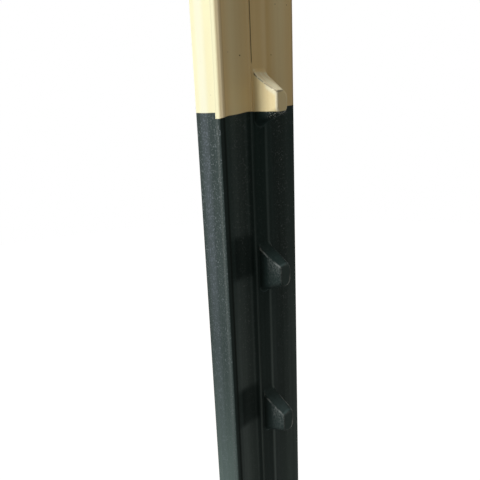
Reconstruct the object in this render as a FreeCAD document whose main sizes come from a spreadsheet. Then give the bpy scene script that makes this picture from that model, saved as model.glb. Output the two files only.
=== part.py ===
import FreeCAD, Part
import math
import os
import re
import Sketcher

# A studded steel fence post. The post is one hot-rolled T-shaped bar: a flange, a web behind it,
# and a row of studs on a low rib down the flange's front, which stop the fence wires sliding.
# A stamped anchor plate near the foot keeps the buried end from turning and from pulling out.
# Millimetres. Z runs up the post from its foot, X across the flange, and the web points to +Y.
# The flange's front is the plane Y = 0, and the studs stand out of it towards -Y.

SIZES = {
    # the rolled bar
    "post_length": 1829.0,
    "flange_width": 31.0,
    "flange_thickness": 3.1,
    "flange_edge_radius": 1.5,
    "section_depth": 32.0,
    "web_thickness": 2.8,
    "bulb_thickness": 3.5,
    "bulb_crown_setback": 4.0,
    "bulb_start_setback": 8.0,
    "web_edge_radius": 1.1,
    "root_radius": 3.0,
    # the front of the flange: a low rib, and a shallow valley on each side of it
    "rib_width": 6.2,
    "rib_rise": 0.35,
    "valley_gap": 0.6,
    "valley_width": 9.8,
    "valley_depth": 0.55,
    # one stud, with its heights measured from the middle of its front face
    "stud_pitch": 54.0,
    "first_stud_from_top": 54.0,
    "foot_margin": 20.0,
    "stud_height": 9.6,
    "stud_root_width": 6.2,
    "stud_root_above": 9.4,
    "stud_root_below": 7.0,
    "stud_root_round": 2.4,
    "stud_front_width": 4.4,
    "stud_front_above": 3.7,
    "stud_front_below": 3.1,
    "stud_front_round": 2.2,
    # the anchor plate, and the two studs that are swaged over to hold it
    "plate_height_on_post": 346.0,
    "plate_width": 96.0,
    "plate_tall": 136.0,
    "plate_thickness": 3.2,
    "plate_taper_tall": 44.0,
    "plate_taper_wide": 25.0,
    "plate_corner_radius": 5.0,
    "shank_width": 5.6,
    "shank_tall": 15.0,
    "slot_clearance": 0.3,
    "head_overlap": 2.4,
    "head_thickness": 2.3,
    "head_edge_radius": 0.9,
}

NEAR = 0.01
UP = FreeCAD.Vector(0, 0, 1)
OUT = FreeCAD.Vector(0, -1, 0)

doc = FreeCAD.newDocument("fence_post")

# The sheet of driving dimensions
sheet = doc.addObject("Spreadsheet::Sheet", "sizes")
for row, (alias, number) in enumerate(SIZES.items(), start=1):
    sheet.set(f"A{row}", alias)
    sheet.set(f"B{row}", str(number))
    sheet.setAlias(f"B{row}", alias)
doc.recompute()


def size(text):
    """The value of an expression on the sheet, such as "flange_width / 2"."""
    return float(sheet.evalExpression(text))


def bind(thing, place, text):
    """Ties a property or a constraint to an expression on the sheet."""
    words = r"[a-z_]+"
    thing.setExpression(place, re.sub(words, lambda word: sheet_name(word.group()), text))


def sheet_name(word):
    return f"sizes.{word}" if word in SIZES else word


def new_body(name):
    body = doc.addObject("PartDesign::Body", name)
    body.Label = name
    return body


def new_sketch(body, name, plane, out="0", along="0"):
    """A sketch on one of the body's own planes, out from that plane and shifted along it."""
    sketch = body.newObject("Sketcher::SketchObject", name)
    planes = [item for item in body.Origin.OriginFeatures if item.Role == plane]
    sketch.AttachmentSupport = (planes[0], [""])
    sketch.MapMode = "FlatFace"
    bind(sketch, "AttachmentOffset.Base.z", out)
    bind(sketch, "AttachmentOffset.Base.y", along)
    return sketch


def pin(sketch, item, point, across, up):
    """Holds a point of the sketch at two expressions, measured from the sketch's origin."""
    for kind, text in (("DistanceX", across), ("DistanceY", up)):
        if text is None:
            continue
        held = Sketcher.Constraint(kind, -1, 1, item, point, size(text))
        bind(sketch, f"Constraints[{sketch.addConstraint(held)}]", text)


def draw_outline(sketch, corners, arcs=None):
    """Draws a closed outline through corners, which are pairs of expressions.

    arcs maps a side's number to the height of its arc's centre, and to 1 for an arc over that
    centre or -1 for one under it. Every other side is straight.
    """
    arcs = arcs or {}
    spots = [FreeCAD.Vector(size(across), size(up), 0) for across, up in corners]
    for side, start in enumerate(spots):
        following = (side + 1) % len(spots)
        end = spots[following]
        first = 1
        if side in arcs:
            centre_height, over = arcs[side]
            centre = FreeCAD.Vector((start.x + end.x) / 2, size(centre_height), 0)
            crown = centre + FreeCAD.Vector(0, over * centre.distanceToPoint(start), 0)
            item = sketch.addGeometry(Part.Arc(start, crown, end))
            arc = sketch.Geometry[item]
            if arc.EndPoint.distanceToPoint(start) < arc.StartPoint.distanceToPoint(start):
                first = 2
            pin(sketch, item, 3, None, centre_height)
        else:
            item = sketch.addGeometry(Part.LineSegment(start, end))
        pin(sketch, item, first, *corners[side])
        pin(sketch, item, 3 - first, *corners[following])


def draw_circle(sketch, across, up, radius):
    centre = FreeCAD.Vector(size(across), size(up), 0)
    item = sketch.addGeometry(Part.Circle(centre, UP, size(radius)))
    pin(sketch, item, 3, across, up)
    held = Sketcher.Constraint("Radius", item, size(radius))
    bind(sketch, f"Constraints[{sketch.addConstraint(held)}]", radius)


def pad(body, name, sketch, length):
    feature = body.newObject("PartDesign::Pad", name)
    feature.Profile = sketch
    bind(feature, "Length", length)
    return feature


def pocket(body, name, sketch, length, reverse):
    feature = body.newObject("PartDesign::Pocket", name)
    feature.Profile = sketch
    feature.Reversed = reverse
    bind(feature, "Length", length)
    return feature


def fillet(body, name, radius, chosen):
    """Rounds the edges that chosen(edge) picks on the body's last feature."""
    doc.recompute()
    base = body.Tip
    edges = enumerate(base.Shape.Edges, start=1)
    names = [f"Edge{number}" for number, edge in edges if chosen(edge)]
    if not names:
        raise RuntimeError(f"{name} found no edge to round")
    feature = body.newObject("PartDesign::Fillet", name)
    feature.Base = (base, names)
    bind(feature, "Radius", radius)
    return feature


def runs_through(axis, spots):
    """Picks the straight edges along an axis that pass through one of the spots, seen along it."""

    def chosen(edge):
        ends = [vertex.Point for vertex in edge.Vertexes]
        if len(ends) != 2:
            return False
        run = ends[1] - ends[0]
        if run.Length < NEAR or abs(abs(run.dot(axis)) - run.Length) > NEAR:
            return False
        flat = ends[0] - axis * ends[0].dot(axis)
        return any(flat.distanceToPoint(spot) < NEAR for spot in spots)

    return chosen


def section_spots(across, back):
    """The mirrored pair of spots in the post's section."""
    return [FreeCAD.Vector(side * size(across), size(back), 0) for side in (1, -1)]


def front_spots(across, height):
    """The mirrored pair of spots on the post's front."""
    return [FreeCAD.Vector(side * size(across), 0, size(height)) for side in (1, -1)]


def mirrored(right_half):
    """A closed outline from its right half, which is listed from the bottom up."""
    return right_half + [(f"-{across}", up) for across, up in reversed(right_half)]


# The plain rolled section: a flat flange, a web, and a slight bulb near the web's free edge
post = new_body("post")
section = new_sketch(post, "section", "XY_Plane")
draw_outline(
    section,
    mirrored(
        [
            ("flange_width / 2", "0"),
            ("flange_width / 2", "flange_thickness"),
            ("web_thickness / 2", "flange_thickness"),
            ("web_thickness / 2", "section_depth - bulb_start_setback"),
            ("bulb_thickness / 2", "section_depth - bulb_crown_setback"),
            ("web_thickness / 2", "section_depth"),
        ]
    ),
)
pad(post, "bar", section, "post_length")

in_the_roots = section_spots("web_thickness / 2", "flange_thickness")
fillet(post, "root_fillets", "root_radius", runs_through(UP, in_the_roots))

flange_corners = section_spots("flange_width / 2", "0")
flange_corners += section_spots("flange_width / 2", "flange_thickness")
fillet(post, "flange_edges", "flange_edge_radius", runs_through(UP, flange_corners))

web_corners = section_spots("web_thickness / 2", "section_depth")
fillet(post, "web_edge", "web_edge_radius", runs_through(UP, web_corners))

# A shallow valley along each wing of the flange's front, as a wide round cutter leaves it
valleys = new_sketch(post, "valleys", "XY_Plane")
valley_radius = "(valley_width * valley_width / (8 * valley_depth) + valley_depth / 2)"
valley_middle = "(rib_width / 2 + valley_gap + valley_width / 2)"
for side in ("", "-"):
    draw_circle(valleys, f"{side}{valley_middle}", f"valley_depth - {valley_radius}", valley_radius)
doc.recompute()
before_valleys = post.Shape.Volume
pocket(post, "valley_cuts", valleys, "post_length", reverse=True)
doc.recompute()
valleys_volume = before_valleys - post.Shape.Volume

# The low rib between the valleys, which carries the studs
rib_outline = new_sketch(post, "rib_outline", "XY_Plane")
draw_outline(
    rib_outline,
    mirrored([("rib_width / 2", "-rib_rise"), ("rib_width / 2", "flange_thickness / 2")]),
)
pad(post, "rib", rib_outline, "post_length")

# How many studs the length holds, and the two nearest to the plate's height, which carry it.
# Studs are numbered from the top
stud_count = 1 + math.floor(
    size("(post_length - first_stud_from_top - foot_margin) / stud_pitch")
)
upper_plate_stud = round(
    size("(post_length - first_stud_from_top - plate_height_on_post) / stud_pitch - 0.5")
)
lower_plate_stud = upper_plate_stud + 1


def stud_place(number):
    """The height on the post of the middle of a stud's front face."""
    return f"(post_length - first_stud_from_top - {number} * stud_pitch)"


def draw_stud(sketch, part):
    """A stud's outline from the front, at its root or its front: flat on top and round below."""
    width = f"stud_{part}_width"
    rounding = f"stud_{part}_round"
    corner_height = f"({rounding} - stud_{part}_below)"
    arc_centre = f"({corner_height} + {width} * {width} / (8 * {rounding}) - {rounding} / 2)"
    corners = [
        (f"{width} / 2", f"stud_{part}_above"),
        (f"-{width} / 2", f"stud_{part}_above"),
        (f"-{width} / 2", corner_height),
        (f"{width} / 2", corner_height),
    ]
    draw_outline(sketch, corners, {2: (arc_centre, -1)})


def add_studs(name, first, count):
    """A run of studs: one drawn from its root to its front face, and repeated down the post."""
    root = new_sketch(post, f"{name}_root", "XZ_Plane", "0", stud_place(first))
    draw_stud(root, "root")
    front = new_sketch(post, f"{name}_front", "XZ_Plane", "stud_height", stud_place(first))
    draw_stud(front, "front")
    stud = post.newObject("PartDesign::AdditiveLoft", f"{name}_first")
    stud.Profile = root
    stud.Sections = [front]
    stud.Ruled = True
    repeat_down(name, stud, count)


def repeat_down(name, feature, count):
    """Repeats a feature down the post, one stud pitch apart."""
    doc.recompute()
    if count < 2:
        return
    run = post.newObject("PartDesign::LinearPattern", name)
    run.Originals = [feature]
    axes = [item for item in post.Origin.OriginFeatures if item.Role == "Z_Axis"]
    run.Direction = (axes[0], [""])
    run.Reversed = True
    run.Occurrences = count
    bind(run, "Length", f"{count - 1} * stud_pitch")
    post.Tip = run
    doc.recompute()


add_studs("upper_studs", 0, upper_plate_stud)
add_studs("lower_studs", lower_plate_stud + 1, stud_count - lower_plate_stud - 1)

# The two studs that hold the plate: a shank through the plate's slot, and its swaged head.
# Each shank is centred on the root of the stud that it was
root_middle = "(stud_root_above - stud_root_below) / 2"


def shank_place(number):
    """The height on the post of the middle of a swaged stud."""
    return f"({stud_place(number)} + {root_middle})"


def draw_slot(sketch, grow, place="0"):
    """An upright slot's outline, larger than a shank's by grow on every side."""
    width = f"(shank_width + 2 * ({grow}))"
    straight = "(shank_tall - shank_width) / 2"
    corners = [
        (f"{width} / 2", f"{place} + {straight}"),
        (f"-{width} / 2", f"{place} + {straight}"),
        (f"-{width} / 2", f"{place} - {straight}"),
        (f"{width} / 2", f"{place} - {straight}"),
    ]
    draw_outline(sketch, corners, {0: (corners[0][1], 1), 2: (corners[2][1], -1)})


PLATE_BACK = "rib_rise"
PLATE_FRONT = "(rib_rise + plate_thickness)"

for name, number in (("upper", upper_plate_stud), ("lower", lower_plate_stud)):
    shank_outline = new_sketch(post, f"{name}_shank_outline", "XZ_Plane", "0", shank_place(number))
    draw_slot(shank_outline, "0")
    pad(post, f"{name}_shank", shank_outline, PLATE_FRONT)
    head_outline = new_sketch(
        post, f"{name}_head_outline", "XZ_Plane", PLATE_FRONT, shank_place(number)
    )
    draw_slot(head_outline, "head_overlap")
    pad(post, f"{name}_head", head_outline, "head_thickness")


def on_a_head_rim(edge):
    """Picks the outer edges of the swaged heads' faces."""
    head_front = -size(f"{PLATE_FRONT} + head_thickness")
    box = edge.BoundBox
    flat = abs(box.YMin - head_front) < NEAR and abs(box.YMax - head_front) < NEAR
    middle = box.Center.z
    places = [size(shank_place(number)) for number in (upper_plate_stud, lower_plate_stud)]
    return flat and any(abs(middle - place) < size("shank_tall") for place in places)


fillet(post, "head_rims", "head_edge_radius", on_a_head_rim)

# The anchor plate: a flat stamped spade with tapered lower corners and a slot for each shank
plate = new_body("anchor_plate")
plate_middle = (
    f"(({shank_place(upper_plate_stud)} + {shank_place(lower_plate_stud)}) / 2)"
)
spade = new_sketch(plate, "spade", "XZ_Plane", PLATE_BACK, plate_middle)
draw_outline(
    spade,
    mirrored(
        [
            ("(plate_width / 2 - plate_taper_wide)", "-plate_tall / 2"),
            ("plate_width / 2", "plate_taper_tall - plate_tall / 2"),
            ("plate_width / 2", "plate_tall / 2"),
        ]
    ),
)
pad(plate, "blank", spade, "plate_thickness")

slots = new_sketch(plate, "slots", "XZ_Plane", PLATE_BACK, plate_middle)
for side in ("", "-"):
    draw_slot(slots, "slot_clearance", f"{side}stud_pitch / 2")
doc.recompute()
blank_volume = plate.Shape.Volume
pocket(plate, "slot_cuts", slots, "plate_thickness", reverse=True)
doc.recompute()
slots_volume = blank_volume - plate.Shape.Volume

plate_corners = []
for across, up in (
    ("plate_width / 2 - plate_taper_wide", f"{plate_middle} - plate_tall / 2"),
    ("plate_width / 2", f"{plate_middle} + plate_taper_tall - plate_tall / 2"),
    ("plate_width / 2", f"{plate_middle} + plate_tall / 2"),
):
    plate_corners += front_spots(across, up)
fillet(plate, "plate_corners", "plate_corner_radius", runs_through(OUT, plate_corners))
doc.recompute()

# Nothing is written unless every object is sound and every cut took material away
for item in doc.Objects:
    if "Invalid" in item.State or "Error" in item.State:
        raise RuntimeError(f"{item.Name} did not rebuild")
for name, volume in (("valleys", valleys_volume), ("slots", slots_volume)):
    if volume <= 0:
        raise RuntimeError(f"the {name} cut nothing")

os.makedirs("parts", exist_ok=True)
for body in (post, plate):
    shape = body.Shape
    if shape.isNull() or not shape.isValid() or len(shape.Solids) != 1:
        raise RuntimeError(f"{body.Label} is not one sound solid")
    shape.exportStep(f"parts/{body.Label}.step")
    box = shape.BoundBox
    reach = f"{box.XLength:.1f} x {box.YLength:.1f} x {box.ZLength:.1f} mm"
    print(f"{body.Label}: {reach}, {shape.Volume / 1000:.1f} cm3, {len(shape.Faces)} faces")
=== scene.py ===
# %% [markdown]
# # A studded steel fence post
# The post is a rolled steel T: a flange in front, a web behind it, and a row of studs down the
# flange. It wears dark green enamel, and its top end was dipped in cream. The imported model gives
# the true sizes. This lesson dresses it: a finer skin for the bar and its studs, a finer anchor
# plate, the two enamels, and a plain pale studio.

# %% The frame
import math

import bmesh
import bpy
from mathutils import Matrix, Vector, noise


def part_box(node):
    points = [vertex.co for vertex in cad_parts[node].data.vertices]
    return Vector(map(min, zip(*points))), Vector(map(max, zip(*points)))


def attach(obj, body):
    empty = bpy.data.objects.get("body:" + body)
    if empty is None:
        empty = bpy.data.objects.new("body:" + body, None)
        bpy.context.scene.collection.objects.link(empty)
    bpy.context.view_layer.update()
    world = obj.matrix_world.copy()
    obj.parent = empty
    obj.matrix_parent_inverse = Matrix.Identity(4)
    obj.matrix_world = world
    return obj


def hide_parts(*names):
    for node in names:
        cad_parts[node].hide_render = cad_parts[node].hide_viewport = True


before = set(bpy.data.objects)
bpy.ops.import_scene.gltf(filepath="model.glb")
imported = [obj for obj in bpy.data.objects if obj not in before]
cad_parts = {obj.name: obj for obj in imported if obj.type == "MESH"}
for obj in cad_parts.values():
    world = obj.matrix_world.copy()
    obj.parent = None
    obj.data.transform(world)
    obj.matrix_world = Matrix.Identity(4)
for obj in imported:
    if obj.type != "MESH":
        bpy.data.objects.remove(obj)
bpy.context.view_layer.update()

MM = 0.001
post_low, post_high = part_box("post")
plate_low, plate_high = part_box("anchor_plate")
print("post", [round(side / MM, 1) for side in post_high - post_low], "mm")

# %% [markdown]
# ## Sizes of the bar
# Every size is in millimetres, as on the mill's drawing, and becomes metres only when a vertex is
# made. The length, the depth and the stud height come from the frame, so the skin always fits it.

# %% Sizes of the bar
post_length = post_high.z / MM
section_depth = post_high.y / MM
stud_height = -post_low.y / MM
flange_half = post_high.x / MM
flange_thickness = 3.1
web_half = 1.4
bulb_half = 1.75
bulb_crown = section_depth - 4.0
bulb_start = section_depth - 8.0
root_round = 3.0
rib_left = 3.5
rib_right = 2.6
rib_rise = 0.35
valley_start = 3.7
valley_end = 13.7
valley_depth = 0.55
stud_pitch = 54.0
first_stud = post_length - 54.0
stud_count = 33
plate_studs = (26, 27)


def stud_place(number):
    """How high a stud's middle is on the post, counting from the top."""
    return first_stud - number * stud_pitch


print("studs from", stud_place(stud_count - 1), "to", stud_place(0), "mm up")

# %% [markdown]
# ## The rolled section
# A bar mill squeezes the hot steel through shaped rolls, so the section is one outline with every
# corner rounded. It could be a curve with a bevel, but a face whose corners are bevelled as
# vertices keeps straight runs straight and rounds each corner by its own radius. The front of
# each wing is then cut into short edges that sink into the shallow valley the rolls leave.

# %% The outline's corners
right_corners = [
    ("valley", valley_start, 0.0),
    ("valley", valley_end, 0.0),
    ("lip_front", flange_half, 0.0),
    ("lip_back", flange_half, flange_thickness),
    ("root", web_half, flange_thickness),
    ("bulb", web_half, bulb_start),
    ("bulb", bulb_half, bulb_crown),
    ("web_edge", web_half, section_depth),
]
rib_corners = [
    ("rib_foot", -rib_left - 0.12, 0.0),
    ("rib", -rib_left, -rib_rise),
    ("rib", rib_right, -rib_rise),
    ("rib_foot", rib_right + 0.12, 0.0),
]
worn_lip = [
    ("lip_facet", -flange_half, 0.75),
    ("lip_facet", -flange_half + 1.05, 0.0),
]
corner_rounds = {
    "rib": (0.14, 3),
    "lip_front": (1.15, 8),
    "lip_back": (0.8, 6),
    "lip_facet": (0.8, 6),
    "root": (root_round, 8),
    "bulb": (2.0, 6),
    "web_edge": (1.1, 8),
}


def vertex_at(bm, x, y, z):
    return bm.verts.new((x * MM, y * MM, z * MM))


def round_corners(bm, corners, radius, segments):
    """Rounds corners of a flat face. The radius is turned into the setback that a bevel takes."""
    for corner in corners:
        arms = [(edge.other_vert(corner).co - corner.co).normalized() for edge in corner.link_edges]
        turn = math.pi - arms[0].angle(arms[1])
        setback = radius * MM * math.tan(turn / 2)
        bmesh.ops.bevel(
            bm, geom=[corner], offset=setback, offset_type="OFFSET", segments=segments,
            affect="VERTICES", profile=0.5, material=-1,
        )


def section_face(bm):
    """The bar's section as one flat face at height 0."""
    left = [(name, -x, y) for name, x, y in reversed(right_corners) if name != "lip_front"]
    before_valley = -2
    left[before_valley:before_valley] = worn_lip
    corners = rib_corners + right_corners + left
    named = [(name, vertex_at(bm, x, y, 0)) for name, x, y in corners]
    bm.faces.new([vertex for _, vertex in named])
    valley_corners = [vertex for name, vertex in named if name == "valley"]
    for name, (radius, segments) in corner_rounds.items():
        corners = [vertex for kind, vertex in named if kind == name]
        round_corners(bm, corners, radius, segments)
    sink_valleys(bm, valley_corners)


def sink_valleys(bm, ends):
    """Cuts the edge between each pair of valley ends into short ones, which follow an arc."""
    middle = (valley_start + valley_end) / 2
    half = (valley_end - valley_start) / 2
    long_edges = [edge for edge in bm.edges if all(vertex in ends for vertex in edge.verts)]
    for edge in long_edges:
        cut = bmesh.ops.subdivide_edges(bm, edges=[edge], cuts=15)
        for item in cut["geom_inner"]:
            if isinstance(item, bmesh.types.BMVert):
                share = (abs(item.co.x) / MM - middle) / half
                item.co.y = valley_depth * (1 - share * share) * MM


test = bmesh.new()
section_face(test)
section_area = sum(face.calc_area() for face in test.faces) / MM**2
print("section", len(test.verts), "corners,", round(section_area), "mm2,", len(test.faces), "face")
test.free()

# %% [markdown]
# ## The studs
# Pockets in one of the rolls forge a stud at every turn, so bar and studs are one piece of steel.
# A stud could be a separate block pushed into the bar, but then the root has no blend. Here a
# stud is a stack of rings: each ring is its outline at one distance from the flange, and bridging
# the rings gives the ramp, the drafted sides, the blunt lower end and the blends between them.

# %% A ring of a stud
ring_corner_segments = 5
ring_end_segments = 8


def add_ring(bm, place, out, middle, half_width, above, below, rounds, lean=0.0):
    """One closed outline at a distance out from the flange, measured round a place on the post.
    The rounds are those of its upper right corner, its upper left one and its lower two, and the
    upper right corner is higher than the left one by the lean."""
    right_round, left_round, end_round = rounds
    corners = [
        vertex_at(bm, middle + side * half_width, -out, place + height)
        for side, height in ((1, above + lean), (-1, above), (-1, -below), (1, -below))
    ]
    others = set(bm.faces)
    bm.faces.new(corners)
    for chosen, radius, segments in (
        (corners[:1], right_round, ring_corner_segments),
        (corners[1:2], left_round, ring_corner_segments),
        (corners[2:], end_round, ring_end_segments),
    ):
        bmesh.ops.bevel(
            bm, geom=chosen, offset=radius * MM, offset_type="OFFSET", segments=segments,
            affect="VERTICES", profile=0.5, material=-1,
        )
    ring = [face for face in bm.faces if face not in others]
    edges = list(ring[0].edges)
    bmesh.ops.delete(bm, geom=ring, context="FACES_ONLY")
    return edges


def bridge(bm, rings):
    """Joins each ring to the next and closes the last one with a flat face."""
    for lower, upper in zip(rings, rings[1:]):
        bmesh.ops.bridge_loops(bm, edges=lower + upper)
    bmesh.ops.edgenet_fill(bm, edges=rings[-1])


test = bmesh.new()
print("ring of", len(add_ring(test, 0, 5.0, 0, 2.6, 7.0, 5.0, (1.0, 0.4, 2.4))), "edges")
test.free()

# %% [markdown]
# The ramp falls from 9 mm above the stud's middle at the flange to 3.7 mm at its face, and the
# lower end from 7 mm below to 3.1 mm. Near the rib each ring flares a little more than those
# straight lines ask, which is the blend at the root, and the last rings shrink round a quarter
# circle, which is the rim of the blunt face. The ramp leans: it is higher on the right, where its
# corner with the face is also rounder. How much differs from stud to stud, so the three studs in
# the photo have their own values.

# %% The rings of one stud
root_outs = (rib_rise, 0.5, 0.72, 1.0, 1.5, 2.2)
wall_outs = (3.4, 4.8, 6.2, 7.4, 8.4)
rim_round = 0.55
rim_turns = (0, 20, 45, 68, 90)
root_half = 2.72
front_half = 2.15
root_off = -0.45
front_off = 0.05
ramp_top = 9.1
ramp_fall = 0.72
ramp_curve = 0.017
foot_root = 7.0
foot_front = 3.1
flare_reach = 1.9
flare_above = 1.3
flare_below = 0.6
seen_studs = {1: (0.4, -0.6, 0.0), 2: (0.9, -0.1, 0.2), 3: (1.1, 0.0, 0.5)}
usual_stud = (0.7, -0.2, 0.2)


def between(root, front, out):
    """A size that changes evenly from the flange to the stud's face."""
    return root + (front - root) * out / stud_height


def stud_rings(bm, place, shape):
    """A stud's rings. Its shape is how far the ramp leans, lifts and widens at the face."""
    lean, lift, widen = shape
    rings = []
    steps = [(out, 0.0) for out in root_outs + wall_outs]
    for turn in rim_turns:
        angle = math.radians(turn)
        out = stud_height - rim_round * (1 - math.sin(angle))
        steps.append((out, rim_round * (1 - math.cos(angle))))
    for out, inset in steps:
        flare = max(0.0, 1 - (out - rib_rise) / flare_reach) ** 3
        half_width = between(root_half, front_half + widen / 2, out) - inset
        ramp = ramp_top - ramp_fall * out + ramp_curve * out * out
        above = ramp + flare_above * flare - inset + between(0, lift, out)
        below = between(foot_root, foot_front, out) + flare_below * flare - inset
        middle = between(root_off, front_off + widen / 2, out)
        rounds = (0.4 + 2.1 * (out / stud_height) ** 2, 0.4, 0.94 * half_width)
        rise = lean * min(1.0, out / 7)
        rings.append(add_ring(bm, place, out, middle, half_width, above, below, rounds, rise))
    return rings


print("a stud has", len(root_outs + wall_outs + rim_turns), "rings")


# %% [markdown]
# ## The swaged studs
# Two studs hold the anchor plate. They pass through its slots, and a press spreads their ends into
# flat heads. These are ring stacks as well: up the shank to the plate's face, out under the head,
# and round the head's rim.

# %% The rings of a swaged stud
plate_front = -plate_low.y / MM
shank_half = 2.8
shank_half_tall = 7.5
shank_middle = 1.2
shank_off = -0.1
head_half = 5.2
head_half_tall = 9.9
head_thick = 2.3
head_rim = 0.8
under_head = 0.2
end_share = 0.94


def swaged_rings(bm, place):
    """The rings of a swaged stud: its shank, the underside of its head and the head's rim."""
    rings = []
    middle = place + shank_middle
    steps = [
        (rib_rise, shank_half, shank_half_tall),
        (plate_front, shank_half, shank_half_tall),
        (plate_front, head_half - under_head, head_half_tall - under_head),
    ]
    head_out = plate_front + head_thick
    for turn in (0, 30, 60, 90):
        angle = math.radians(turn)
        inset = head_rim * (1 - math.cos(angle))
        out = head_out - head_rim * (1 - math.sin(angle))
        steps.append((out, head_half - inset, head_half_tall - inset))
    for out, half_width, half_tall in steps:
        rounds = (end_share * half_width,) * 3
        rings.append(add_ring(
            bm, middle, out, shank_off, half_width, half_tall, half_tall, rounds,
        ))
    return rings


print("a swaged head is", 2 * head_half, "by", 2 * head_half_tall, "mm")


# %% [markdown]
# ## The whole bar
# The section is drawn out by one edge extrusion per stud pitch, as the rolls feed it, so every
# stud has its own stretch of rib. The rib's front face is opened there and filled again between
# its border and the stud's first ring, so the skin stays one closed surface.

# %% The whole bar
def draw_out(bm, rim, level):
    """Extrudes an open rim of edges up to a level on the post and returns the new rim."""
    grown = bmesh.ops.extrude_edge_only(bm, edges=rim)["geom"]
    raised = [item for item in grown if isinstance(item, bmesh.types.BMVert)]
    for vertex in raised:
        vertex.co.z = level * MM
    lifted = set(raised)
    return [edge for vertex in raised for edge in vertex.link_edges
            if edge.other_vert(vertex) in lifted and edge.verts[0] is vertex]


def open_rib(bm, place):
    """Takes out the rib's front face round a place on the post, and returns its border."""
    middle = Vector((0, -rib_rise * MM, place * MM))
    face = min(bm.faces, key=lambda one: (one.calc_center_median() - middle).length)
    border = list(face.edges)
    bmesh.ops.delete(bm, geom=[face], context="FACES_ONLY")
    return border


def forge_grain(bm, vertices, first_out, amount):
    """Shifts a stud's skin by smooth noise, none at the root, as no two forged studs are alike."""
    for vertex in vertices:
        reach = min(1.0, max(0.0, (-vertex.co.y / MM - first_out) / 2))
        shift = noise.noise_vector(vertex.co / MM * 0.35) * amount * reach * MM
        vertex.co.x += shift.x
        vertex.co.z += shift.z


forge_seed = 5
noise.seed_set(forge_seed)
bar = bmesh.new()
section_face(bar)
rim = list(bar.edges)
levels = [stud_place(number) - stud_pitch / 2 for number in reversed(range(stud_count))]
levels += [levels[-1] + stud_pitch, post_length]
for level in levels:
    rim = draw_out(bar, rim, level)
bmesh.ops.edgenet_fill(bar, edges=rim)
print("bar drawn out:", len(bar.faces), "faces")

# %% [markdown]
# Each stretch of rib now gets its stud. The opened border and the stud's first ring are filled
# with flat triangles, and the rings above are bridged. A boolean union would join them too, but
# it leaves slivers that catch the light. Noise with a seed of its own then shifts the skin of each
# stud a little, the same way at every run. The two studs at the anchor plate are swaged ones.

# %% The studs go on
for number in range(stud_count):
    place = stud_place(number)
    border = open_rib(bar, place)
    before = set(bar.verts)
    if number in plate_studs:
        rings = swaged_rings(bar, place)
    else:
        rings = stud_rings(bar, place, seen_studs.get(number, usual_stud))
    bmesh.ops.triangle_fill(bar, edges=border + rings[0], use_beauty=True)
    bridge(bar, rings)
    forge_grain(bar, [vertex for vertex in bar.verts if vertex not in before], rib_rise, 0.09)
bmesh.ops.remove_doubles(bar, verts=bar.verts, dist=1e-7)
bmesh.ops.recalc_face_normals(bar, faces=bar.faces)
open_edges = [edge for edge in bar.edges if not edge.is_manifold]
print("bar with studs:", len(bar.faces), "faces,", len(open_edges), "open edges")


# %% [markdown]
# A piece's object stays at the origin with its place in its mesh. Flat faces keep their own
# shading and the rounds between them are smooth, which the Weighted Normal modifier sees to.

# %% Making a piece from a bmesh
def make_piece(bm, name, node, sharp_degrees=35):
    mesh = bpy.data.meshes.new(name)
    bm.to_mesh(mesh)
    bm.free()
    mesh.shade_smooth()
    mesh.set_sharp_from_angle(angle=math.radians(sharp_degrees))
    piece = bpy.data.objects.new(name, mesh)
    bpy.context.scene.collection.objects.link(piece)
    weighted = piece.modifiers.new("weighted_normals", "WEIGHTED_NORMAL")
    weighted.keep_sharp = True
    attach(piece, "root")
    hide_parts(node)
    return piece


rolled_post = make_piece(bar, "rolled_post", "post")
print("rolled_post:", len(rolled_post.data.polygons), "faces")

# %% [markdown]
# ## The anchor plate
# The spade is blanked out of strip by a press, slots and all. So its outline and its slots are
# filled together as one flat face, extruded once by the strip's thickness, and its sheared edges
# are bevelled a little.

# %% The anchor plate
plate_corner = 5.0
slot_gap = 0.3
taper_tall = 44.0
taper_wide = 25.0
spade = bmesh.new()
half_wide = plate_high.x / MM
plate_top = plate_high.z / MM
plate_foot = plate_low.z / MM
plate_back = -plate_high.y / MM
spade_corners = [
    (half_wide - taper_wide, plate_foot),
    (half_wide, plate_foot + taper_tall),
    (half_wide, plate_top),
]
spade_corners += [(-x, z) for x, z in reversed(spade_corners)]
outline = [vertex_at(spade, x, -plate_back, z) for x, z in spade_corners]
spade.faces.new(outline)
round_corners(spade, outline, plate_corner, 6)
spade_edges = list(spade.edges)
bmesh.ops.delete(spade, geom=list(spade.faces), context="FACES_ONLY")
for number in plate_studs:
    half = shank_half + slot_gap
    tall = shank_half_tall + slot_gap
    middle = stud_place(number) + shank_middle
    rounds = (end_share * half,) * 3
    spade_edges += add_ring(spade, middle, plate_back, shank_off, half, tall, tall, rounds)
bmesh.ops.triangle_fill(spade, edges=spade_edges, use_beauty=True)
grown = bmesh.ops.extrude_face_region(spade, geom=list(spade.faces))["geom"]
raised = [item for item in grown if isinstance(item, bmesh.types.BMVert)]
bmesh.ops.translate(spade, verts=raised, vec=(0, -(plate_front - plate_back) * MM, 0))
bmesh.ops.recalc_face_normals(spade, faces=spade.faces)
sheared = [edge for edge in spade.edges if edge.calc_face_angle(0) > math.radians(60)]
bmesh.ops.bevel(
    spade, geom=sheared, offset=0.3 * MM, offset_type="OFFSET", segments=2,
    affect="EDGES", profile=0.5, material=-1,
)
open_edges = [edge for edge in spade.edges if not edge.is_manifold]
print("spade:", len(spade.faces), "faces,", len(open_edges), "open edges")
anchor_spade = make_piece(spade, "anchor_spade", "anchor_plate")

# %% [markdown]
# ## Sums that make shader nodes
# A finish is a sum of masks. Wiring each Math node by hand hides what the sum is, so a small
# class wraps a node's output and turns Python's signs into Math nodes. Every other kind of node
# comes from one method, which sets the node's settings first and its sockets afterwards. The
# materials use it, and so does the world.

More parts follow.
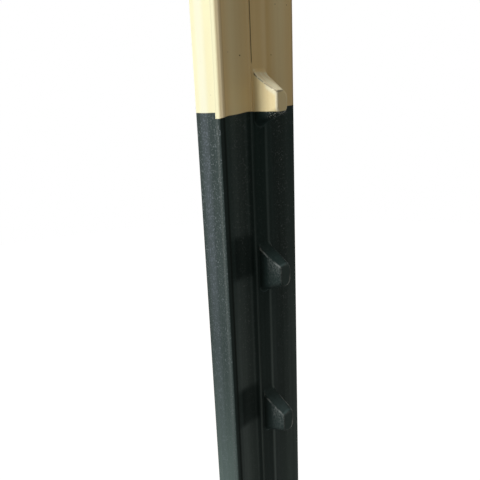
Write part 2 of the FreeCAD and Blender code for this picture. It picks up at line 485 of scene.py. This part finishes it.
# %% Sums that make shader nodes
class Amount:
    """One number that varies over a surface. Sums with it add Math nodes to its tree."""

    def __init__(self, wiring, socket):
        self.wiring = wiring
        self.socket = socket

    def math(self, operation, first, *rest):
        sockets = dict(enumerate((first,) + rest))
        return self.wiring.node("ShaderNodeMath", {"operation": operation}, sockets)

    def __add__(self, other):
        return self.math("ADD", self, other)

    def __radd__(self, other):
        return self.math("ADD", other, self)

    def __sub__(self, other):
        return self.math("SUBTRACT", self, other)

    def __rsub__(self, other):
        return self.math("SUBTRACT", other, self)

    def __mul__(self, other):
        return self.math("MULTIPLY", self, other)

    def __rmul__(self, other):
        return self.math("MULTIPLY", other, self)

    def __truediv__(self, other):
        return self.math("DIVIDE", self, other)

    def __pow__(self, other):
        return self.math("POWER", self, other)

    def size(self):
        return self.math("ABSOLUTE", self)

    def least(self, other):
        return self.math("MINIMUM", self, other)

    def most(self, other):
        return self.math("MAXIMUM", self, other)

    def wrap(self, high, low):
        return self.math("WRAP", self, high, low)

    def rise(self, start, end):
        """0 up to start, 1 from end on, and smooth between. It falls where end is below start."""
        settings = {"interpolation_type": "SMOOTHSTEP"}
        low, high = (start, end) if start < end else (end, start)
        ends = (0.0, 1.0) if start < end else (1.0, 0.0)
        sockets = {"Value": self, "From Min": low, "From Max": high,
                   "To Min": ends[0], "To Max": ends[1]}
        return self.wiring.node("ShaderNodeMapRange", settings, sockets)


class Wiring:
    """An emptied node tree, and the one way to add a node to it."""

    def __init__(self, tree):
        self.tree = tree
        self.tree.nodes.clear()

    def node(self, kind, settings=None, sockets=None, output=0):
        """Adds a node and returns one of its outputs."""
        made = self.tree.nodes.new(kind)
        for name, value in (settings or {}).items():
            setattr(made, name, value)
        for name, value in (sockets or {}).items():
            if isinstance(value, Amount):
                self.tree.links.new(value.socket, made.inputs[name])
            else:
                made.inputs[name].default_value = value
        return Amount(self, made.outputs[output]) if made.outputs else made

    def blend(self, share, first, second):
        """Mixes two colours."""
        sockets = {0: share, 6: first, 7: second}
        return self.node("ShaderNodeMix", {"data_type": "RGBA"}, sockets, 2)


class Finish(Wiring):
    """A material that is written as sums. Its places are in mm."""

    def __init__(self, name):
        self.material = bpy.data.materials.new(name)
        self.material.use_nodes = True
        super().__init__(self.material.node_tree)
        place = self.node("ShaderNodeTexCoord", output="Object")
        self.place = self.node(
            "ShaderNodeVectorMath", {"operation": "SCALE"}, {0: place, "Scale": 1 / MM}
        )
        parts = ("X", "Y", "Z")
        self.x, self.y, self.z = (
            self.node("ShaderNodeSeparateXYZ", {}, {0: self.place}, part) for part in parts
        )

    def grain(self, size, detail=2.0, stretch=(1, 1, 1), seed=0.0, contrast=None):
        """Noise of a size in mm. With a contrast it is a mask that starts and ends there."""
        scaled = {"Scale": tuple(share / size for share in stretch), "Location": (seed, seed, seed)}
        where = self.node("ShaderNodeMapping", {}, {"Vector": self.place, **scaled})
        fog = self.node("ShaderNodeTexNoise", {}, {"Vector": where, "Scale": 1.0, "Detail": detail})
        return fog.rise(*contrast) if contrast else fog

    def lacquer(self, colour, roughness, height, gloss, depth):
        """Ends the material in a Principled shader. Height is in mm."""
        bump = self.node("ShaderNodeBump", {}, {
            "Height": height, "Distance": MM, "Strength": depth,
        })
        shader = self.node("ShaderNodeBsdfPrincipled", {}, {
            "Base Color": colour, "Roughness": roughness, "Normal": bump,
            "Specular IOR Level": gloss,
        })
        self.node("ShaderNodeOutputMaterial", {}, {"Surface": shader})


def solid(red, green, blue):
    return (red, green, blue, 1.0)


print("a finish reads places in mm")

# %% [markdown]
# ## The post's enamel
# At the mill the whole post goes through dark green enamel, and once that is dry its top end is
# dipped in cream, so the cream lies over the green and ends in a line across the bar. The line
# is a height on the post, a little higher on one side, as the post hung slightly askew, with a
# slow waver in it. Reading heights in millimetres puts it where it belongs on web, flange and
# stud alike, which a painted texture would need an unwrap for.

# %% The dip line
e = post_enamel = Finish("post_enamel")
dip_height = post_length - 110.5
dip_tilt = 0.092
on_the_left_wing = 1 - ((e.x + 8.6) / 7.0) ** 2
waver = e.grain(9.0, 1.0, seed=4.0) - 0.5
front = e.y.rise(1.1, 0.0)
line = dip_height + e.x * dip_tilt + waver * 0.35
line = line + on_the_left_wing.most(0.0) * front * 0.78
over_line = e.z - line
cream_here = over_line.rise(-0.12, 0.12)
print("cream from", round(dip_height, 1), "mm up")

# %% [markdown]
# ## Where a stud is
# Marks on the studs repeat down the post, so the height is wrapped to the nearest stud's middle.
# Three gaps then say how far a point is inside the stud's side, its ramp and its face. Where two of
# them are small at once the point is near an edge, which is where enamel wears and where painted
# highlights lie along the rims.

# %% Where a stud is
station = (e.z - first_stud).wrap(stud_pitch / 2, -stud_pitch / 2)
out = 0 - e.y
on_stud = out.rise(0.7, 1.2)
side_draft = 0.0594
middle_drift = 0.052
half_width = root_half - out * side_draft
off_middle = e.x - root_off - out * middle_drift
past_end = (out * 0.35 - 4.44 - station).most(0.0)
side_gap = half_width - (off_middle ** 2 + past_end ** 2) ** 0.5
ramp_lift = (off_middle + half_width) / 5 * (out / 7).least(1.0) * usual_stud[0]
ramp_lift = ramp_lift - out * (0.02 + (e.z - dip_height).rise(-12.0, -8.0) * 0.042)
ramp_gap = (ramp_top - out * ramp_fall + out * out * ramp_curve + ramp_lift - station) * 0.8
face_gap = stud_height - out


def near_edge(first_gap, second_gap, reach):
    """1 on the edge where two faces of a stud meet, and 0 from reach mm on."""
    return first_gap.most(second_gap).rise(reach, 0.0)


ramp_edge = near_edge(side_gap, ramp_gap, 0.55) * on_stud
face_edge = near_edge(side_gap, face_gap, 0.45) * on_stud
crest = near_edge(ramp_gap, face_gap, 0.6) * on_stud
stud_side = side_gap.rise(0.5, 0.3) * on_stud
print("marks on a stud follow its own edges")

# %% [markdown]
# ## Lines that run with the bar
# The rolls leave streaks along the whole bar. A lap, where the steel folded over beside the rib, is a
# dark crack in the cream. Each mark is a band across the section, by its place and width. Most of the
# other bands here are painted light: painted reflections on the front and on the bulb of the web, a
# painted glint and painted shade on the flange's lip, and a painted highlight along each stud's root.

# %% Lines that run with the bar
def band(across, middle, half, soft=0.5):
    """1 at a place across the section, fading over its half width."""
    return (across - middle).size().rise(half * (1 + soft), half * (1 - soft))


def bands(across, marks, soft=0.8):
    """The sum of some bands, each given as its middle, its half width and its strength."""
    total = 0
    for middle, half, strength in marks:
        total = band(across, middle, half, soft) * strength + total
    return total.least(1.0)


drift = (e.grain(30.0, 1.0, stretch=(0, 0, 1), seed=3.0) - 0.5) * 0.7
across = e.x + drift * 0.5
lap = band(across, -3.27, 0.16) * front
roll_streaks = e.grain(1.3, 2.0, stretch=(1, 1, 0.02), seed=21.0)
# Painted reflections: light bands down the front's wings and rib, each by place, half width and
# strength.
wing_reflection_bands = ((-11.0, 1.9, 0.5), (-10.2, 3.1, 0.5), (-14.3, 0.8, 0.4), (12.8, 2.9, 0.7))
rib_reflection_bands = ((-5.95, 0.4, 0.4), (-3.75, 0.25, 0.9), (1.85, 0.5, 0.9), (3.4, 1.5, 0.22))
# Beside each stud the painted reflection on the left wing stops, and painted shade takes its place.
beside_stud = (station - 6.5).size().rise(5.5, 8.5)
left_wing = e.x.rise(-4.4, -4.8)
wing_sheen = bands(e.x, wing_reflection_bands) * (1 - left_wing * (1 - beside_stud) * 0.9)
sheen = (wing_sheen + bands(across, rib_reflection_bands) * (1 - on_stud)).least(1.0)
# Painted reflection: a band down the bulb of the web, bluish in the green and paler in the cream.
web_sheen = band(e.y, 26.6, 1.9, 0.7)
on_side = (0 - e.x).rise(flange_half - 0.3, flange_half - 0.1)
# Painted glint: a bright line along the side of the flange's lip.
side_glint = band(e.y, 1.9, 0.45) * on_side
round_lip = e.y.rise(0.85, 0.6) * (0 - e.x).rise(flange_half - 1.9, flange_half - 1.2)
lap_end = dip_height + 14
above_lap_end = e.z.rise(lap_end - 0.6, lap_end + 0.6)
# Painted highlight: a light line along each stud's left root.
root_line = band(out, 0.62, 0.14) * side_gap.rise(1.4, 0.7) * off_middle.rise(0.5, -0.5)
print("the lap ends", round(lap_end, 1), "mm up")

# %% [markdown]
# ## Enamel colours
# Dark green enamel over mill scale isn't even. It has a fine speckle where the scale's grain catches
# the light. The flange's front faces away from the key lamp, so it takes a much darker copy of the
# green as painted shade, painted lighter further down. Light bands on the front and a bluish band on
# the bulb of the web are painted reflections. The web is lighter further down as well. The cream is
# browner on the flange's front, painted shade too, and has a few dark specks.

# %% Green enamel
green = solid(0.049, 0.066, 0.064)
green_deep = solid(0.024, 0.034, 0.031)
front_green = solid(0.0145, 0.0275, 0.0255)
front_green_below = solid(0.032, 0.047, 0.046)
sheen_green = solid(0.050, 0.074, 0.073)
reflection_green_below = solid(0.115, 0.149, 0.150)
lip_shade_green = solid(0.012, 0.0175, 0.016)
green_black = solid(0.008, 0.014, 0.013)
blue_grey_reflection_and_speckle = solid(0.115, 0.137, 0.155)
web_green_below = solid(0.129, 0.180, 0.165)
dust_dots = solid(0.200, 0.230, 0.245)
bare_steel_and_glint = solid(0.170, 0.190, 0.185)
patches = e.grain(14.0, 3.0, stretch=(1, 1, 0.25), contrast=(0.35, 0.7))
speckle = e.grain(0.62, 1.0, seed=2.0, contrast=(0.53, 0.70))
coarse = e.grain(2.4, 2.0, seed=7.0, contrast=(0.42, 0.66))
# Painted light: further down, the front is painted lighter, as its shade grows less deep.
lighter_below = e.z.rise(post_length - 115, post_length - 235)
front_coat = e.blend(lighter_below, front_green, front_green_below)
# Painted reflection: the light bands lie over the front's green.
front_coat = e.blend(sheen, front_coat, e.blend(lighter_below, sheen_green, reflection_green_below))
green_coat = e.blend(patches * 0.3, green, green_deep)
# Painted shade: the front, which faces away from the key lamp, takes a much darker copy of the green.
green_coat = e.blend(front * 0.97, green_coat, front_coat)
green_coat = e.blend(roll_streaks.rise(0.35, 0.75) * 0.25, green_coat, green_black)
down_web = e.z.rise(post_length - 240, post_length - 130) * 0.7 + 0.35
dots = speckle * (0.16 + coarse * 0.5) * (1 - front * 0.9) * down_web
green_coat = e.blend(dots, green_coat, dust_dots)
# Painted reflection: the bluish band on the bulb, broken by the speckle.
green_coat = e.blend(web_sheen * (0.38 + speckle * 0.9).least(1.0) * down_web, green_coat, blue_grey_reflection_and_speckle)
# Painted glint on the side of the lip, in the green.
green_coat = e.blend(side_glint * (0.2 + speckle * 0.3) * down_web, green_coat, bare_steel_and_glint)
# Painted shade: the rounded lip is painted near black in the green.
green_coat = e.blend(round_lip * (1 - side_glint) * 0.9, green_coat, lip_shade_green)
# The web is painted lighter further down.
web_lighter_below = (1 - front) * e.z.rise(post_length - 190, post_length - 290)
green_coat = e.blend(web_lighter_below * 0.5, green_coat, web_green_below)
# Painted shade: the left wing beside each stud is painted near black.
shade = left_wing * e.x.rise(-12.8, -11.6) * (1 - beside_stud) * front
green_coat = e.blend(shade * 0.95, green_coat, green_black)
green_coat = e.blend(band(e.x, 6.4, 2.4) * front * 0.3, green_coat, green_black)
print("green enamel:", len(e.tree.nodes), "nodes")

# %% [markdown]
# Clips and other posts rub the studs. Their edges are down to grey steel in places, and the outer
# half of a stud's side is scuffed grey, which is also a painted highlight where the key lamp falls on
# it. The studs' sides are painted darker as painted shade, and their faces, lower rims and roots
# carry painted highlights.

# %% Green enamel on the studs
scuffs = e.grain(0.4, 4.0, stretch=(1, 1, 0.6), seed=31.0, contrast=(0.30, 0.85))
# Scuffed grey on the outer half of each stud's side, which is also a painted highlight where the key
# lamp falls.
side_scuffs_and_highlight = stud_side * out.rise(3.6, 5.0) * scuffs * (0.3 + ramp_gap.rise(5.0, 0.5) * 0.7)
# Painted shade: the studs' sides are painted darker.
green_coat = e.blend(stud_side * 0.45, green_coat, green_black)
green_coat = e.blend(side_scuffs_and_highlight * 0.58, green_coat, bare_steel_and_glint)
# Painted highlight: each stud's face is painted paler.
face_shine = on_stud * (1 - stud_side) * face_gap.rise(1.2, 0.3)
green_coat = e.blend(face_shine, green_coat, sheen_green)
rubbed = e.grain(1.6, 3.0, seed=33.0, contrast=(0.42, 0.62))
# Painted highlight: a light line along each stud's lower right rim.
low_rim = near_edge(side_gap, face_gap, 0.8) * station.rise(1.0, -1.5) * off_middle.rise(0.0, 1.0)
edges = (ramp_edge * rubbed).most(face_edge * 0.35).most(crest * rubbed * 0.3)
green_coat = e.blend(edges * 0.85, green_coat, bare_steel_and_glint)
green_coat = e.blend(low_rim * 0.8, green_coat, solid(0.38, 0.42, 0.41))
# Painted highlight along each stud's root, in the green.
green_coat = e.blend(root_line * 0.35, green_coat, sheen_green)
green_coat = e.blend(band(across, -4.8, 0.55) * front * 0.4, green_coat, green_black)
flecks = e.grain(0.45, 2.0, seed=40.0, contrast=(0.55, 0.68))
fleck_zone = band(over_line, -1.0, 0.9) * on_stud * out.rise(4.5, 6.5)
green_coat = e.blend(flecks * fleck_zone * 0.8, green_coat, solid(0.42, 0.46, 0.43))
print("with the studs' wear:", len(e.tree.nodes), "nodes")

# %% [markdown]
# The cream is a second whole coat with its own wear, and the dip line's mask lays it over the green.
# It is chipped along the edges of the studs, and darker in bands across the front. Painted highlights
# make it paler on the bulb of the web and along the lit edges of the studs' sides, and painted light
# brightens the studs' ramps and the lip's rounding. On the front it is a browner copy as painted
# shade, with thin lines of painted shade along the flange's edges, and its light bands there are
# painted reflections.

# %% Cream enamel
cream = solid(0.87, 0.845, 0.575)
cream_front_shade = solid(0.80, 0.62, 0.305)
cream_deep = solid(0.66, 0.50, 0.235)
cream_grey = solid(0.88, 0.75, 0.47)
cream_bright = solid(0.90, 0.90, 0.72)
soot_and_shade = solid(0.085, 0.062, 0.040)
pooled = e.grain(11.0, 2.0, stretch=(1, 1, 0.3), seed=9.0, contrast=(0.45, 0.8))
# Painted shade: the front's cream is a darker, browner copy.
cream_coat = e.blend(front * (0.88 - on_stud * 0.4), cream, cream_front_shade)
cream_coat = e.blend(pooled * 0.14, cream_coat, cream_deep)
cream_coat = e.blend(roll_streaks.rise(0.4, 0.75) * front * 0.2, cream_coat, cream_deep)
darker_front_bands = ((-7.2, 1.8, 0.85), (4.1, 1.0, 0.5), (6.6, 2.8, 0.85))
cream_reflection_bands = ((-12.0, 2.2, 0.35), (-3.75, 0.4, 0.8), (2.1, 1.0, 0.8), (12.2, 2.6, 0.3))
not_on_stud = front * (1 - on_stud)
# Darker bands across the cream front.
cream_coat = e.blend(bands(e.x, darker_front_bands) * not_on_stud * 0.6, cream_coat, cream_deep)
# Painted reflection: the same light bands, paler, on the cream front.
cream_coat = e.blend(bands(across, cream_reflection_bands) * not_on_stud * 0.5, cream_coat, cream_grey)
# Painted highlight: the cream is paler on the bulb of the web.
cream_coat = e.blend(web_sheen * 0.85, cream_coat, cream_bright)
specks = e.grain(1.0, 0.0, seed=12.0, contrast=(0.865, 0.90))
cream_coat = e.blend(specks * 0.9, cream_coat, soot_and_shade)
# Painted shade: thin dark lines beside the lip on the front, along the front's right edge and along
# the lip's side.
cream_coat = e.blend(band(e.x, -13.8, 0.3) * front * 0.16, cream_coat, soot_and_shade)
cream_coat = e.blend(e.x.rise(14.0, 14.7) * front * 0.4, cream_coat, soot_and_shade)
cream_coat = e.blend(band(e.y, 2.3, 0.3) * on_side * 0.1, cream_coat, soot_and_shade)
# Painted light: the cream is paler on the lip's rounding.
lip_painted_light = e.y.rise(0.95, 0.1) * (0 - e.x).rise(flange_half - 1.9, flange_half - 1.2)
cream_coat = e.blend(lip_painted_light * 0.85, cream_coat, solid(0.96, 0.84, 0.56))
cream_coat = e.blend(lap * above_lap_end * 0.85, cream_coat, soot_and_shade)
# Painted highlight along each stud's root, in the cream.
cream_coat = e.blend(root_line * 0.35, cream_coat, cream_bright)
ramp_face = ramp_gap.rise(0.5, 0.1) * on_stud
ramp_lines = e.grain(0.9, 2.0, stretch=(1, 0.12, 0.12), seed=44.0, contrast=(0.42, 0.58))
# Painted light: the studs' ramps are painted paler, as they face up.
cream_coat = e.blend(ramp_face * 0.6, cream_coat, cream_bright)
cream_coat = e.blend(ramp_face * ramp_lines * 0.35, cream_coat, cream_deep)
# Painted highlight: the lit edges of the studs' sides are painted paler.
lit_edge = ramp_gap.rise(1.6, 0.7).most(face_gap.rise(0.9, 0.5)) * stud_side * out.rise(4.5, 6.0)
cream_coat = e.blend(lit_edge * 0.7, cream_coat, cream_bright)
chipped = e.grain(1.3, 3.0, seed=35.0, contrast=(0.34, 0.46))
ramp_crack = near_edge(side_gap, ramp_gap, 0.4) * on_stud * off_middle.rise(0.5, -0.5)
chips = ramp_crack.most(crest) * chipped
cream_coat = e.blend(chips * 0.9, cream_coat, soot_and_shade)
# The cream is darker on the outer half of each stud's side, broken by the scuff grain.
cream_outer_side_dark = stud_side * out.rise(3.6, 5.0) * (0.12 + scuffs * 0.2)
cream_coat = e.blend(cream_outer_side_dark, cream_coat, cream_deep)
coat = e.blend(cream_here, green_coat, cream_coat)
print("with cream:", len(e.tree.nodes), "nodes")

# %% [markdown]
# Enamel dries with a fine orange peel over longer waves, and the second coat stands a little
# proud of the first. That is too fine for the mesh, so it is a bump. The gloss stays low,
# because the reflection of a white studio would wash out so dark a colour.

# %% Enamel on the post
enamel_gloss = 0.012
enamel_depth = 0.7
peel = e.grain(0.8, 2.0, seed=5.0)
waves = e.grain(5.0, 1.0, stretch=(1, 1, 0.4), seed=6.0)
coat_height = peel * 0.05 + waves * 0.10 + cream_here * 0.12 - lap * 0.15
coat_height = coat_height + side_scuffs_and_highlight * 0.06
coat_roughness = 0.42 + e.grain(3.0, 2.0, seed=8.0) * 0.12 - cream_here * 0.08
e.lacquer(coat, coat_roughness, coat_height, enamel_gloss, enamel_depth)
rolled_post.data.materials.append(e.material)
print("post_enamel:", len(e.tree.nodes), "nodes")

# %% [markdown]
# ## The plate's enamel
# The spade gets only the green coat. Its edges rub against other posts in the bundle, so the enamel
# is thinner there.

# %% The plate's enamel
p = plate_enamel = Finish("plate_enamel")
plate_green = solid(0.080, 0.105, 0.104)
patches = p.grain(18.0, 3.0, contrast=(0.35, 0.7))
speckle = p.grain(0.42, 2.0, seed=2.0, contrast=(0.52, 0.72))
coarse = p.grain(2.4, 2.0, seed=7.0, contrast=(0.42, 0.66))
plate_coat = p.blend(patches * 0.8, plate_green, green)
plate_coat = p.blend(speckle * (0.2 + coarse * 0.5), plate_coat, blue_grey_reflection_and_speckle)
from_side = p.x.size() - half_wide
from_top = p.z - plate_top
worn_rim = from_side.most(from_top).rise(-1.1, -0.2)
worn = p.grain(2.2, 3.0, seed=14.0, contrast=(0.45, 0.62))
plate_coat = p.blend(worn_rim * worn * 0.7, plate_coat, bare_steel_and_glint)
plate_height = p.grain(0.8, 2.0, seed=5.0) * 0.05 + p.grain(7.0, 1.0, seed=6.0) * 0.15
plate_roughness = 0.42 + p.grain(3.0, 2.0, seed=8.0) * 0.12
p.lacquer(plate_coat, plate_roughness, plate_height, enamel_gloss, enamel_depth)
anchor_spade.data.materials.append(p.material)
print("plate_enamel:", len(p.tree.nodes), "nodes")

# %% [markdown]
# ## The studio
# The photograph shows the post in front of plain white. The floor and the world are white to the
# camera, and to glossy rays too, while the light they give stays low.

# %% The studio
floor_radius = 7.0
floor_white = 0.75
floor_mesh = bmesh.new()
bmesh.ops.create_circle(floor_mesh, cap_ends=True, segments=96, radius=floor_radius)
floor_data = bpy.data.meshes.new("studio_floor")
floor_mesh.to_mesh(floor_data)
floor_mesh.free()
studio_floor = bpy.data.objects.new("studio_floor", floor_data)
bpy.context.scene.collection.objects.link(studio_floor)


def looking(wiring):
    """1 for the rays that look, also off a gloss or through glass, and 0 for those that light."""
    rays = [
        wiring.node("ShaderNodeLightPath", output=f"Is {kind} Ray")
        for kind in ("Camera", "Glossy", "Transmission")
    ]
    return rays[0].most(rays[1]).most(rays[2])


f = Finish("pale_floor")
white = looking(f) * floor_white
matt = f.node("ShaderNodeBsdfDiffuse", {}, {"Color": solid(0.35, 0.34, 0.33)})
glow = f.node("ShaderNodeEmission", {}, {"Color": solid(1, 1, 1), "Strength": white})
both = f.node("ShaderNodeAddShader", {}, {0: matt, 1: glow})
f.node("ShaderNodeOutputMaterial", {}, {"Surface": both})
floor_data.materials.append(f.material)
print("floor", 2 * floor_radius, "m across")

# %% [markdown]
# The world gives the post a dim light from all sides, a little warmer than white. A Mix node
# hands that light to the surfaces and plain white to the rays that look.

# %% The world
world = bpy.data.worlds.new("white_studio")
bpy.context.scene.world = world
world.use_nodes = True
w = Wiring(world.node_tree)
soft_light = solid(0.180, 0.158, 0.131)
sky_colour = w.blend(looking(w), soft_light, solid(1, 1, 1))
sky = w.node("ShaderNodeBackground", {}, {"Color": sky_colour})
w.node("ShaderNodeOutputWorld", {}, {"Surface": sky})
print("world:", len(w.tree.nodes), "nodes")

# %% [markdown]
# The key lamp stands on the web's side, low and soft, so the flange's front is in shade.

# %% The lamps
def add_sun(name, towards, strength, spread_degrees):
    """A sun lamp that shines from a direction. Its spread softens the shadows."""
    lamp = bpy.data.lights.new(name, "SUN")
    lamp.energy = strength
    lamp.angle = math.radians(spread_degrees)
    stand = bpy.data.objects.new(name, lamp)
    stand.rotation_euler = Vector(towards).to_track_quat("Z", "Y").to_euler()
    bpy.context.scene.collection.objects.link(stand)


add_sun("key_lamp", (-0.828, 0.312, 0.469), 3.35, 24)
add_sun("top_lamp", (0.1, -0.05, 1.0), 0.75, 30)
print("two lamps")

# %% [markdown]
# ## The camera
# It stands 157 mm from the post, near its top, and looks down at it from the left.

# %% The camera
lens = bpy.data.cameras.new("camera")
lens.sensor_width = 36
lens.lens = 37.38
lens.clip_start = 0.01
camera = bpy.data.objects.new("camera", lens)
stand = Matrix.Translation((-0.10787, -0.11531, 1.72195))
turn = Matrix.Rotation(math.radians(-40.22), 4, "Z")
tilt = Matrix.Rotation(math.radians(90 - 15.62), 4, "X")
roll = Matrix.Rotation(math.radians(-2.523), 4, "Z")
camera.matrix_world = stand @ turn @ tilt @ roll
bpy.context.scene.collection.objects.link(camera)
bpy.context.scene.camera = camera
bpy.context.scene.view_settings.view_transform = "Standard"
print("camera at", [round(side, 3) for side in camera.matrix_world.translation], "m")
